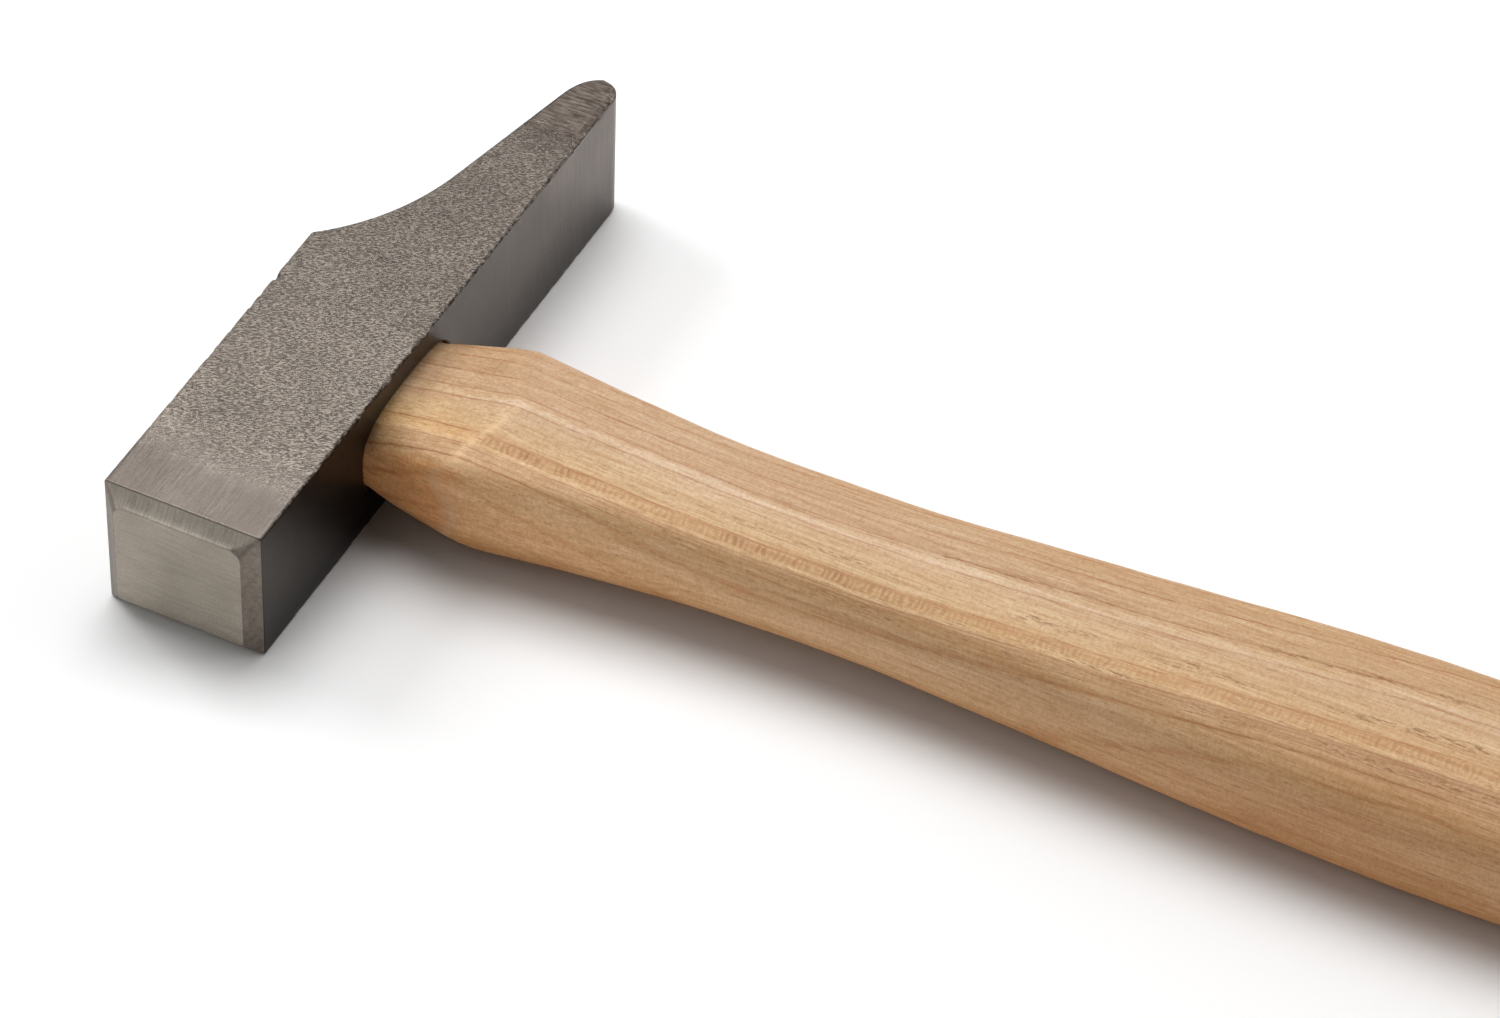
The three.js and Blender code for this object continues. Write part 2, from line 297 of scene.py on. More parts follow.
def head_rings():
    """Rows from face to nose: far side x, y, handle side x, y, cheek inset, upper and lower corner."""
    rows = []

    def add(low, high, inset, corner, low_corner=None):
        if low_corner is None:
            low_corner = corner
        rows.append((*low, *high, inset, corner, low_corner))

    face_half = HALF_DEPTH - CHAMFER_SIDE
    for share in np.r_[np.linspace(0.03, 0.93, 22), 0.955, 0.975, 0.99, 1.0]:
        half_x = face_half * share
        inset = MID_Z - (MID_Z - CHAMFER_SIDE) * share
        y = FACE_Y + FACE_CROWN * share**3
        add((-half_x, y), (half_x, y), inset, FACE_CORNER * share, LOW_FACE_CORNER * share)
    for share in np.r_[0.04, 0.1, np.linspace(0.18, 0.9, 9), 0.95, 1.0]:
        bow = 4 * share * (1 - share)
        half_x = face_half + CHAMFER_SIDE * share - SIDE_HOLLOW * bow
        inset = CHAMFER_SIDE * (1 - share) + CHEEK_HOLLOW * bow
        y = FACE_Y + FACE_CROWN + (CHAMFER_LENGTH - FACE_CROWN) * share
        corner = FACE_CORNER + (BODY_CORNER - FACE_CORNER) * share
        low_corner = LOW_FACE_CORNER + (BODY_CORNER - LOW_FACE_CORNER) * share
        add((-half_x, y), (half_x, y), inset, corner, low_corner)
    for y in spaced(BODY_START, SHOULDER_Y, HEAD_RING_STEP)[1:]:
        add((-HALF_DEPTH, y), (HALF_DEPTH, y), 0, BODY_CORNER)
    blunt_end = (-HALF_DEPTH + SHOULDER_BLUNT, SHOULDER_Y + SHOULDER_BLUNT)
    for share in (0.25, 0.5, 0.75):
        x = -HALF_DEPTH + SHOULDER_BLUNT * share**1.2
        y = SHOULDER_Y + SHOULDER_BLUNT * share**0.85
        add((x, y), (HALF_DEPTH, y), 0, BODY_CORNER)
    sweep = along(bezier(blunt_end, SWEEP_BEND, SWEEP_END, np.linspace(0, 1, 60)), 62)
    taper = along([SWEEP_END, TIP_START], 56)[1:]
    for x, y in np.r_[sweep, taper]:
        add((x, y), (HALF_DEPTH, y), 0, BODY_CORNER)
    top = along(bezier(TIP_START, TIP_BEND, (NOSE_TOP, NOSE_Y), np.linspace(0, 1, 40)), 26)
    turn = (HALF_DEPTH, NOSE_Y - NOSE_ROUNDING)
    lower = bezier(turn, (HALF_DEPTH, NOSE_Y), (NOSE_TOP, NOSE_Y), np.linspace(0, 1, 40))
    under = along(np.r_[[(HALF_DEPTH, TIP_START[1])], lower], 26)
    for a, b in zip(top[1:-1], under[1:-1]):
        add(a, b, 0, min(BODY_CORNER, (b[0] - a[0]) * 0.45))
    return np.array(rows)


def head_perimeter(depth_points=54, height_points=46, corner_points=5):
    """Unit positions round a rounded rectangle: (x share, z share, corner x, corner z)."""
    quarter = (np.arange(corner_points) + 0.5) / corner_points * math.pi / 2

    def side(count):
        share = (np.arange(count) + 0.5) / count
        return share + 0.06 * np.sin(2 * math.pi * share) / 2

    path = []
    for start, out, count in (
        ((0, 0), (-1, 0), height_points),
        ((0, 1), (0, 1), depth_points),
        ((1, 1), (1, 0), height_points),
        ((1, 0), (0, -1), depth_points),
    ):
        start, out = np.array(start), np.array(out)
        ahead = np.array([out[1], -out[0]])
        path += [(*(start + ahead * share), *out) for share in side(count)]
        path += [(*(start + ahead), *(out * math.cos(a) + ahead * math.sin(a))) for a in quarter]
    return np.array(path)


def head_vertices():
    """The head's skin before forging: one row of points for each ring."""
    rings = head_rings()
    rings[1:-1] = 0.25 * rings[:-2] + 0.5 * rings[1:-1] + 0.25 * rings[2:]
    shape = head_perimeter()
    low_x, low_y, high_x, high_y, inset, upper, lower = (rings[:, i, None] for i in range(7))
    share_x, share_z, out_x, out_z = (shape[None, :, i] for i in range(4))
    corner = np.where(share_z > 0.5, upper, lower)
    core_x = low_x + corner + (high_x - low_x - 2 * corner) * share_x
    core_z = inset + lower + (THICKNESS - 2 * inset - lower - upper) * share_z
    x = np.where(out_z == 0, low_x + (high_x - low_x) * share_x, core_x + corner * out_x)
    z = core_z + corner * out_z
    blend = (x - low_x) / np.maximum(high_x - low_x, 1e-6)
    y = low_y + (high_y - low_y) * np.clip(blend, 0, 1)
    return np.stack([x, y, z], -1)


def forge(points):
    """Uneven forged skin: waves and pebbles on the cheeks, a ragged edge, a bevel at the tip."""
    flat = points.reshape(-1, 3)
    x, y, z = flat.T
    from_cheek = np.minimum(z, THICKNESS - z)
    from_handle_side = HALF_DEPTH - x
    upper = z > MID_Z
    into_metal = np.where(upper, -1.0, 1.0)
    cheek = 1 - smoothstep(0.0, 0.25, from_cheek)
    rough = smoothstep(*ROUGH_START, y) * (1 - smoothstep(*ROUGH_END, y))
    waves = gradient_noise(flat * WAVE_SCALE, WAVE_SEED)
    pebbles = gradient_noise(flat * PEBBLE_SCALE, PEBBLE_SEED)
    depth = ROUGH_DEPTH + WAVE_DEPTH * waves + PEBBLE_DEPTH * pebbles
    sink = cheek * (rough * depth + SMOOTH_DEPTH)
    bevel = smoothstep(*BEVEL_START, y) * np.maximum(BEVEL_WIDTH - from_handle_side, 0) * cheek
    sink = sink + BEVEL_SLOPE * bevel
    edge = np.exp(-((np.hypot(from_cheek, from_handle_side) / EDGE_REACH) ** 2))
    ragged = gradient_noise(flat * RAGGED_SCALES[0], RAGGED_SEEDS[0])
    ragged = ragged + 0.7 * gradient_noise(flat * RAGGED_SCALES[1], RAGGED_SEEDS[1])
    dent = edge * smoothstep(*DENT_START, y) * np.maximum(ragged + 0.1, 0)
    dent = dent * np.where(upper, UPPER_DENT, LOWER_DENT)
    far_edge = np.exp(-((np.hypot(from_cheek, x + HALF_DEPTH) / FAR_EDGE_REACH) ** 2))
    far_edge = far_edge * (y < SHOULDER_Y + 1)
    nick = NICK_DEPTH * np.exp(-(((y - NICK_Y) / NICK_WIDTH) ** 2))
    worn = np.maximum(gradient_noise(flat * WORN_SCALE, WORN_SEED), 0)
    worn = worn * smoothstep(*WORN_START, y) * WORN_DEPTH
    chip = far_edge * (nick + worn) * CHIP_SHARE
    lip = np.maximum(gradient_noise(flat * LIP_SCALE, LIP_SEED) - 0.1, 0)
    burr = edge * lip * smoothstep(*BURR_START, y) * (1 - smoothstep(*BURR_END, y))
    burr = burr * upper * BURR_DEPTH
    moved = flat.copy()
    moved[:, 2] += into_metal * (sink + dent + chip)
    moved[:, 0] += SIDEWAYS_SHARE * (chip - dent) + burr
    return np.clip(moved, HEAD_LOW, HEAD_HIGH + (BURR_REACH, 0, 0)).reshape(points.shape)


def forged_head():
    """The head's piece, with the eye cut through it."""
    points = forge(head_vertices())
    count, sides = points.shape[:2]
    head = mesh_object("forged_head", points.reshape(-1, 3), tube_faces(count, sides))
    cut(head, eye_cutter())
    return head


def eye_cutter():
    """The eye's taper with a small lead-in at each mouth."""
    angle = np.linspace(0, 2 * math.pi, 96, endpoint=False)
    rings = []
    for x, room in (
        (-HALF_DEPTH - 1, EYE_GAP + EYE_LEAD_IN + 1),
        (-HALF_DEPTH + EYE_LEAD_IN, EYE_GAP),
        (HALF_DEPTH - EYE_LEAD_IN * 0.5, EYE_GAP),
        (HALF_DEPTH + 1, EYE_GAP + EYE_LEAD_IN * 0.5 + 1),
    ):
        half = tenon_half(np.clip(x, -HALF_DEPTH, HALF_DEPTH))
        reach = superellipse_ray((half[0] + room, half[1] + room), angle)
        y, z = reach * np.cos(angle), reach * np.sin(angle)
        rings.append(np.stack([np.full_like(y, x), y, z + MID_Z], 1))
    return mesh_object("eye_cutter", np.concatenate(rings), tube_faces(len(rings), len(angle)))


# ---------------- handle

def tenon_half(x):
    """Half width and half height of the tenon and of the neck that grows out of it."""
    inside = (x - HALF_DEPTH) / (2 * HALF_DEPTH)
    beyond = np.maximum(x - HALF_DEPTH, 0)
    return tuple(
        np.where(x < HALF_DEPTH, neck + (neck - end) * inside, neck + growth * beyond)
        for neck, end, growth in zip(NECK_HALF, TENON_HALF, NECK_GROWTH)
    )


def station_curve():
    """The handle's stations joined by a uniform Catmull-Rom curve, finely sampled."""
    points = np.array(STATIONS)
    points = np.r_[[2 * points[0] - points[1]], points, [2 * points[-1] - points[-2]]]
    t = np.linspace(0, 1, 60, endpoint=False)[:, None]
    pieces = []
    for a, b, c, d in zip(points, points[1:], points[2:], points[3:]):
        slope_b, slope_c = (c - a) / 2, (d - b) / 2
        square = 3 * (c - b) - 2 * slope_b - slope_c
        cube = 2 * (b - c) + slope_b + slope_c
        pieces.append(b + slope_b * t + square * t**2 + cube * t**3)
    return np.concatenate(pieces + [points[-2:-1]])


def section_facets():
    """Outward direction of each flat of the handle's section, and its distance from the centre."""
    corners = np.array(SECTION_CORNERS)
    run = np.roll(corners, -1, axis=0) - corners
    out = np.stack([run[:, 1], -run[:, 0]], 1)
    out /= np.linalg.norm(out, axis=1)[:, None]
    return out, (out * corners).sum(1)


CURVE = station_curve()
FACETS_OUT, FACETS_AT = section_facets()


def lean_y(x):
    """How far the handle's middle line has moved towards the peen."""
    return LEAN * np.maximum(x - HALF_DEPTH, 0)


def body_half(x):
    """Half width and half height of the handle's body."""
    return np.interp(x, CURVE[:, 0], CURVE[:, 1]), np.interp(x, CURVE[:, 0], CURVE[:, 2])


def faceted_reach(angle, sharpness):
    """Reach of the many-sided unit section at each angle, its corners softened."""
    u = np.stack([np.cos(angle), np.sin(angle)], -1)
    close = np.maximum(u @ FACETS_OUT.T, 0) / FACETS_AT
    return (close ** sharpness[..., None]).sum(-1) ** (-1 / sharpness)


def handle_rings():
    """Ring positions along the handle: fine round the shoulder crease, then coarser."""
    tenon = np.linspace(TENON_END, FINE_FROM - 0.4, 18)
    neck = np.arange(FINE_FROM, FINE_TO, FINE_STEP)
    body = np.arange(FINE_TO + 0.5, BUTT_END - BUTT_RADIUS, COARSE_STEP)
    turn = np.linspace(0, math.pi / 2, 12)
    butt = BUTT_END - BUTT_RADIUS + BUTT_RADIUS * np.sin(turn)
    return np.r_[tenon, neck, body, butt]


def neck_radius(x, ray):
    """The neck grows from the eye's outline into flats, the one towards the face side tilted."""
    beyond = np.clip(x - HALF_DEPTH, 0, NECK_REACH)
    c, s = np.cos(ray), np.abs(np.sin(ray))
    half_y, half_z = tenon_half(x)
    face_side = c < 0
    tilt = np.where(face_side, np.tan(NECK_TILT * beyond), 0)
    power = EYE_ROUNDNESS + np.where(face_side, FACE_SIDE_BOXINESS, PEEN_SIDE_BOXINESS) * beyond
    across = np.abs(c) / half_y
    up = (s + np.abs(c) * tilt) / half_z
    return (across**power + up**power) ** (-1 / power)


def handle_surface(x, angle):
    """Points of the handle's skin, how near each is to the shoulder crease, and its ray."""
    half_y, half_z = body_half(x)
    softness = smoothstep(SHARP_AT, SOFT_AT, x)
    sharpness = FACET_SHARPNESS * (GRIP_SHARPNESS / FACET_SHARPNESS) ** softness
    reach = faceted_reach(angle, sharpness)
    body_y, body_z = half_y * reach * np.cos(angle), half_z * reach * np.sin(angle)
    body, ray = np.hypot(body_y, body_z), np.arctan2(body_z, body_y)
    neck = neck_radius(x, ray)
    gap = body - neck
    radius = np.minimum(body, neck) - CREASE_ROUNDING * np.log1p(np.exp(-np.abs(gap) / CREASE_ROUNDING))
    over = np.maximum(x - (BUTT_END - BUTT_RADIUS), 0)
    radius = radius - (BUTT_RADIUS - np.sqrt(np.maximum(BUTT_RADIUS**2 - over**2, 0)))
    crease = np.exp(-((gap / CREASE_REACH) ** 2))
    y = lean_y(x) + radius * np.cos(ray)
    z = MID_Z + radius * np.sin(ray)
    return np.stack([x, y, z], -1), crease, ray


def shave(points, ray):
    """Hand-finished unevenness: long shallow waves that leave the tenon alone."""
    flat = points.reshape(-1, 3)
    waves = gradient_noise(flat * SHAVING_SCALES[0], SHAVING_SEEDS[0])
    waves = waves + 0.4 * gradient_noise(flat * SHAVING_SCALES[1], SHAVING_SEEDS[1])
    depth = SHAVING_DEPTH * waves * smoothstep(*SHAVING_START, flat[:, 0])
    ray = ray.reshape(-1)
    flat = flat - np.stack([np.zeros_like(depth), depth * np.cos(ray), depth * np.sin(ray)], 1)
    return flat.reshape(points.shape)


def wooden_handle(sides=156):
    """The handle's piece, with its kerf and the steel wedges' pockets cut."""
    x = handle_rings()[:, None] + np.zeros(sides)
    angle = np.linspace(0, 2 * math.pi, sides, endpoint=False) + np.zeros_like(x)
    points, crease, ray = handle_surface(x, angle)
    points = shave(points, ray)
    start, end = end_caps(points)
    grid = np.clip(np.concatenate([start, points, end]), *CAD_BOX_MM)
    handle = mesh_object("wooden_handle", grid.reshape(-1, 3), tube_faces(len(grid), sides))
    value = np.concatenate([np.zeros(start.shape[:2]), crease, np.zeros(end.shape[:2])])
    attribute = handle.data.attributes.new("crease", "FLOAT", "POINT")
    attribute.data.foreach_set("value", value.reshape(-1).astype(np.float32))
    cut(handle, kerf_cutter())
    cut_pockets(handle)
    return handle


def capped(points):
    """The rings of points, and more rings that close both ends."""
    start, end = end_caps(points)
    return np.concatenate([start, points, end])


def end_caps(points):
    """Rings that shrink to the middle of each end, the last end slightly domed."""
    caps = []
    for ring, sign, dome in ((points[0], -1, 0.0), (points[-1], 1, 0.5)):
        centre = ring.mean(0)
        shares = np.array([0.04, 0.2, 0.4, 0.6, 0.75, 0.87, 0.95])
        rows = [centre + (ring - centre) * share - (sign * dome * share**2, 0, 0) for share in shares]
        caps.append(np.array(rows) if sign < 0 else np.array(rows[::-1]))
    return caps


# ---------------- wedges

def tapered_block(name, ends, y=0.0):
    """A block from one end to the other, each end x, half width and half height."""
    ring = []
    for x, half_y, half_z in ends:
        for a, b in ((-1, -1), (1, -1), (1, 1), (-1, 1)):
            ring.append((x, y + a * half_y, MID_Z + b * half_z))
    return mesh_object(name, ring, tube_faces(2, 4), smooth=False)


def kerf_cutter():
    """The sawn kerf along the eye's long side, which narrows away from the tenon's end."""
    half_y = TENON_HALF[0] + 2
    mouth = (TENON_END - 1, half_y, KERF_MOUTH / 2)
    return tapered_block("kerf_cutter", (mouth, (TENON_END + KERF_DEPTH, half_y, KERF_ROOT / 2)))


def cut_pockets(piece):
    """The spaces of the steel wedges, which are driven across the wooden one."""
    half_z = CROSS_WIDTH / 2 + WEDGE_CLEARANCE
    mouth = (TENON_END - 1, CROSS_HEAD / 2 + WEDGE_CLEARANCE, half_z)
    root = (TENON_END + CROSS_LENGTH + WEDGE_CLEARANCE, CROSS_TIP / 2 + WEDGE_CLEARANCE, half_z)
    for y in (-CROSS_OFFSET, CROSS_OFFSET):
        cut(piece, tapered_block("pocket", (mouth, root), y))


def blunt_tube(name, x, y, z):
    """A closed piece from rings of y and z at each x."""
    points = np.stack([np.broadcast_to(x[:, None], y.shape), y, z], -1)
    grid = capped(points)
    return mesh_object(name, grid.reshape(-1, 3), tube_faces(len(grid), y.shape[1]))


def wedge_of_wood():
    """The wooden wedge, which fills the kerf but for a small clearance."""
    steps = 24
    x = np.linspace(TENON_END + BEECH_END_GAP, TENON_END + KERF_DEPTH - 1, steps)
    share = (x - TENON_END) / KERF_DEPTH
    half = (KERF_MOUTH + (KERF_ROOT - KERF_MOUTH) * share) / 2 - BEECH_FACE_GAP
    outline = np.linspace(0, 2 * math.pi, 64, endpoint=False)
    width = tenon_half(np.clip(x, -HALF_DEPTH, HALF_DEPTH))[0] - BEECH_SIDE_GAP
    blunt = superellipse_ray((1, 1), outline, BEECH_SQUARENESS)
    y = width[:, None] * blunt * np.cos(outline)
    z = MID_Z + half[:, None] * blunt * np.sin(outline)
    wedge = blunt_tube("beech_wedge", x, y, z)
    cut_pockets(wedge)
    return wedge


def barbed_wedge(name, y):
    """A steel wedge with rows of shallow barbs on both broad sides."""
    steps = 46
    x = np.linspace(TENON_END, TENON_END + CROSS_LENGTH, steps)
    share = (x - TENON_END) / CROSS_LENGTH
    half = (CROSS_HEAD + (CROSS_TIP - CROSS_HEAD) * share) / 2
    half = half - BARB_DEPTH * ((share * BARB_ROWS) % 1) * smoothstep(0.06, 0.2, share)
    outline = np.linspace(0, 2 * math.pi, 56, endpoint=False)
    blunt = superellipse_ray((1, 1), outline, STEEL_SQUARENESS)
    rows_y = y + half[:, None] * blunt * np.cos(outline)
    rows_z = np.broadcast_to(MID_Z + CROSS_WIDTH / 2 * blunt * np.sin(outline), rows_y.shape)
    return blunt_tube(name, x, rows_y, rows_z)


# ---------------- materials

# Wrinkles of the cheeks: the way they run, in degrees from +X, and waves per millimetre
WRINKLE_DIRECTION = 25.0
WRINKLES_ALONG, WRINKLES_ACROSS, WRINKLES_DOWN = 1.6, 5.2, 2.8

# Where the rough skin gives way to grinding, along y, and how far that border wanders
FACE_GRINDING, TIP_GRINDING = (-23.0, -34.5), (47.0, 56.0)
BORDER_WANDER = 13.0
SKIN_BUMP, GRINDING_BUMP, GRAIN_BUMP = 0.12, 0.035, 0.08

# Colours in sRGB and factors that tint a colour; the neck's factors and the bounce glow are painted
# light and shade
SKIN_COLOUR = (139, 130, 121)
GROUND_COLOUR = (98, 91, 85)
TIP_COLOUR = (100, 91, 84)
HANDLE_SIDE_COLOUR = (82, 74, 68)
COVE_COLOUR = (174, 166, 154)
SIDE_CHAMFER_COLOUR = (118, 109, 100)
FACE_COLOUR = (153, 145, 133)
WOOD_LINE = (158, 100, 56)
FLANK_LINE = (182, 112, 56)
UPPER_WARMTH = (0.97, 0.94, 0.83)
# Painted warm light on the neck's flanks
FLANK_NECK_PAINTED_LIGHT = (1.03, 0.88, 0.79)
WOOD_PORE = (140, 94, 54)
WOOD_TICK = (150, 94, 44)
# Painted orange bounce light on the handle's lower rounding
PAINTED_BOUNCE_GLOW = (226, 150, 76)
WOOD_TORN = (232, 194, 150)
# Painted warm shade on the neck next to the head
NECK_PAINTED_SHADE = (0.87, 0.82, 0.69)
WARM_SHADE = (0.91, 0.85, 0.77)
BEECH_LIGHT, BEECH_DARK, BEECH_SPECK = (196, 152, 106), (160, 112, 72), (110, 72, 44)
SHEARED_LIGHT, SHEARED_DARK, SHEARED_SPOT = (150, 146, 140), (118, 113, 107), (96, 78, 64)

# The tree's heart line, and what lies at each distance from it: colours of the layers, then lines
# as distance, width and strength, torn layers as distance and width, and rows of ticks as first
# and last distance, the x where they start and are full, and strength
HEART_START = (15.4, 20.1)
HEART_SLOPE = (0.023, -0.044)
WOOD_BANDS = (
    (0.0, (190, 156, 124)),
    (5.0, (186, 153, 121)),
    (8.0, (190, 158, 126)),
    (11.5, (187, 155, 123)),
    (12.0, (194, 162, 131)),
    (15.0, (190, 157, 123)),
    (15.5, (200, 169, 136)),
    (16.5, (207, 178, 147)),
    (17.0, (197, 164, 129)),
    (19.5, (203, 170, 129)),
    (22.0, (203, 168, 124)),
    (22.5, (204, 164, 114)),
    (24.0, (212, 175, 127)),
    (24.5, (216, 181, 136)),
    (25.0, (196, 158, 116)),
    (26.0, (194, 156, 113)),
    (26.5, (203, 165, 123)),
    (27.5, (198, 158, 114)),
    (28.0, (214, 174, 132)),
    (29.5, (213, 170, 122)),
    (30.0, (217, 171, 125)),
    (33.0, (210, 160, 108)),
    (36.0, (214, 166, 114)),
)
GROWTH_LINES = (
    (3.0, 0.6, 0.5),
    (5.5, 0.5, 0.6),
    (8.0, 0.4, 0.7),
    (10.0, 0.35, 0.4),
    (11.5, 0.3, 0.95),
    (13.5, 0.4, 0.3),
    (15.0, 0.35, 0.75),
    (15.5, 0.15, 0.4),
    (17.0, 0.3, 0.7),
    (22.5, 0.3, 0.8),
    (25.0, 0.25, 0.75),
    (25.5, 0.3, 0.5),
    (26.5, 0.25, 0.55),
    (27.5, 0.35, 0.85),
    (29.5, 0.35, 0.85),
    (31.0, 0.4, 0.6),
    (33.0, 0.4, 0.7),
    (35.0, 0.4, 0.6),
)
TORN_LAYERS = ((15.0, 0.55), (20.5, 0.9), (24.5, 0.4), (26.0, 0.7))
TICKS_PER_MM = 1.05
TICK_BANDS = ((22.5, 24.0, 26.5, 28.5, 1.0), (25.0, 26.0, 105.0, 130.0, 0.6))


class Nodes:
    """Short ways to add and join shader nodes in one material."""

    def __init__(self, name):
        self.material = bpy.data.materials.new(name)
        self.material.use_nodes = True
        self.tree = self.material.node_tree
        self.tree.nodes.clear()
        self.shader = self.tree.nodes.new("ShaderNodeBsdfPrincipled")
        output = self.tree.nodes.new("ShaderNodeOutputMaterial")
        self.tree.links.new(self.shader.outputs[0], output.inputs["Surface"])
        coordinates = self.tree.nodes.new("ShaderNodeTexCoord")
        self.place = self.vector("SCALE", coordinates.outputs["Object"], scale=1 / MM)
        self.normal = coordinates.outputs["Normal"]

    def put(self, socket, value):
        """Joins a node's output to the socket, or sets its number."""
        if isinstance(value, bpy.types.NodeSocket):
            self.tree.links.new(value, socket)
        elif value is not None:
            socket.default_value = value

    def math(self, operation, a, b=None, c=None, clamp=False):
        node = self.tree.nodes.new("ShaderNodeMath")
        node.operation = operation
        node.use_clamp = clamp
        for socket, value in zip(node.inputs, (a, b, c)):
            self.put(socket, value)
        return node.outputs[0]

    def times(self, first, *others):
        """The product of two or more numbers."""
        for other in others:
            first = self.math("MULTIPLY", first, other)
        return first

    def about(self, middle, noise, amount):
        """A value moved up and down by a noise."""
        return self.math("MULTIPLY_ADD", self.math("SUBTRACT", noise, 0.5), amount, middle)

    def vector(self, operation, a, b=None, scale=None):
        node = self.tree.nodes.new("ShaderNodeVectorMath")
        node.operation = operation
        self.put(node.inputs[0], a)
        self.put(node.inputs[1], b)
        if scale is not None:
            self.put(node.inputs["Scale"], scale)
        return node.outputs["Value" if operation in ("DOT_PRODUCT", "LENGTH") else "Vector"]

    def parts(self, vector):
        """The x, y and z of a vector."""
        node = self.tree.nodes.new("ShaderNodeSeparateXYZ")
        self.put(node.inputs[0], vector)
        return node.outputs

    def join(self, x, y, z):
        node = self.tree.nodes.new("ShaderNodeCombineXYZ")
        for socket, value in zip(node.inputs, (x, y, z)):
            self.put(socket, value)
        return node.outputs[0]

    def noise(self, vector, scale, detail=2.0, roughness=0.5, distortion=0.0):
        """Noise around 0.5; the scale is in waves per millimetre along each axis."""
        node = self.tree.nodes.new("ShaderNodeTexNoise")
        self.put(node.inputs["Vector"], self.vector("MULTIPLY", vector, scale))
        node.inputs["Scale"].default_value = 1
        node.inputs["Detail"].default_value = detail
        node.inputs["Roughness"].default_value = roughness
        node.inputs["Distortion"].default_value = distortion
        return node.outputs["Fac"]

    def ease(self, value, low, high, start=0.0, end=1.0):
        """A smooth step from start at low to end at high."""
        node = self.tree.nodes.new("ShaderNodeMapRange")
        node.interpolation_type = "SMOOTHSTEP"
        for socket, number in zip(node.inputs, (value, low, high, start, end)):
            self.put(socket, number)
        return node.outputs[0]

    def mix(self, share, a, b):
        node = self.tree.nodes.new("ShaderNodeMix")
        node.data_type = "RGBA"
        self.put(node.inputs[0], share)
        self.put(node.inputs[6], a)
        self.put(node.inputs[7], b)
        return node.outputs[2]

    def ramp(self, value, stops):
        """Colours blended between stops of (value, sRGB colour)."""
        low, high = stops[0][0], stops[-1][0]
        node = self.tree.nodes.new("ShaderNodeValToRGB")
        self.put(node.inputs[0], self.math("DIVIDE", self.math("SUBTRACT", value, low), high - low))
        elements = node.color_ramp.elements
        for at, colour in stops[1:-1]:
            elements.new((at - low) / (high - low)).color = linear(*colour)
        elements[0].color = linear(*stops[0][1])
        elements[len(elements) - 1].color = linear(*stops[-1][1])
        return node.outputs[0]

    def shade(self, colour, share):
        """The colour made darker or lighter by a share."""
        return self.vector("SCALE", colour, scale=share)

    def shade_in(self, zone, colour, share):
        """The colour made darker or lighter in one zone only."""
        return self.mix(zone, colour, self.shade(colour, share))

    def darken(self, colour, share):
        """The colour turned darker and warmer by a share; below nothing it gets lighter and paler."""
        step = self.vector("SUBTRACT", self.vector("MULTIPLY", colour, WARM_SHADE), colour)
        return self.vector("ADD", colour, self.vector("SCALE", step, scale=share))

    def attribute(self, name):
        node = self.tree.nodes.new("ShaderNodeAttribute")
        node.attribute_name = name
        return node.outputs["Fac"]

    def bump(self, height, distance_mm, strength=1.0, normal=None):
        node = self.tree.nodes.new("ShaderNodeBump")
        node.inputs["Strength"].default_value = strength
        node.inputs["Distance"].default_value = distance_mm * MM
        self.put(node.inputs["Height"], height)
        self.put(node.inputs["Normal"], normal)
        return node.outputs[0]

    def finish(self, **sockets):
        for name, value in sockets.items():
            self.put(self.shader.inputs[name.replace("_", " ")], value)
        return self.material


def linear(red, green, blue):
    """An sRGB colour, 0 to 255, as the linear RGBA that Blender wants."""
    values = [c / 255 for c in (red, green, blue)]
    return tuple(v / 12.92 if v <= 0.04045 else ((v + 0.055) / 1.055) ** 2.4 for v in values) + (1.0,)


def wrinkles(n):
    """Height of a leathery skin: low wavy bumps with narrow furrows between them, longer one way."""
    x, y, z = n.parts(n.place)
    turn = math.radians(WRINKLE_DIRECTION)
    c, s = math.cos(turn), math.sin(turn)
    forward = n.math("ADD", n.times(x, c), n.times(y, s))
    across = n.math("SUBTRACT", n.times(y, c), n.times(x, s))
    scale = (WRINKLES_ALONG, WRINKLES_ACROSS, WRINKLES_DOWN)
    folds = n.noise(n.join(forward, across, z), scale, detail=2, roughness=0.55, distortion=0.2)
    return n.ease(folds, 0.31, 0.53)


def steel_zones(n):
    """How far each point belongs to each zone of the head, from 0 to 1."""
    y = n.parts(n.place)[1]
    nx, ny, nz = n.parts(n.normal)
    upright = n.math("ABSOLUTE", nz)
    wander = n.noise(n.place, (0.3, 0.3, 0.3), detail=5, roughness=0.85)
    border = n.about(y, wander, BORDER_WANDER)
    near_face, near_tip = n.ease(border, *FACE_GRINDING), n.ease(border, *TIP_GRINDING)
    ahead = n.ease(y, BODY_START + 0.05, BODY_START - 0.15)
    behind = n.math("SUBTRACT", 1.0, ahead)
    face = n.times(ahead, n.ease(ny, -0.93, -0.985))
    chamfer = n.math("SUBTRACT", ahead, face)
    side_chamfer = n.times(chamfer, n.ease(upright, 0.5, 0.3))
    cheek = n.times(behind, n.ease(upright, 0.72, 0.9))
    far_side = n.times(behind, n.ease(nx, -0.5, -0.7))
    swept = n.times(far_side, n.ease(y, SHOULDER_Y - 0.5, SHOULDER_Y + 0.5))
    forged, ground = n.math("MAXIMUM", cheek, swept), n.math("MAXIMUM", near_face, near_tip)
    return {
        "face": face,
        "chamfer": chamfer,
        "side_chamfer": side_chamfer,
        "cove": n.math("SUBTRACT", chamfer, side_chamfer),
        "cheek": cheek,
        "ground_cheek": n.times(near_face, cheek),
        "tip": n.times(near_tip, cheek),
        "handle_side": n.times(behind, n.ease(nx, 0.7, 0.85)),
        "eye_side": n.math("SUBTRACT", far_side, swept),
        "skin": n.math("SUBTRACT", forged, ground, clamp=True),
    }


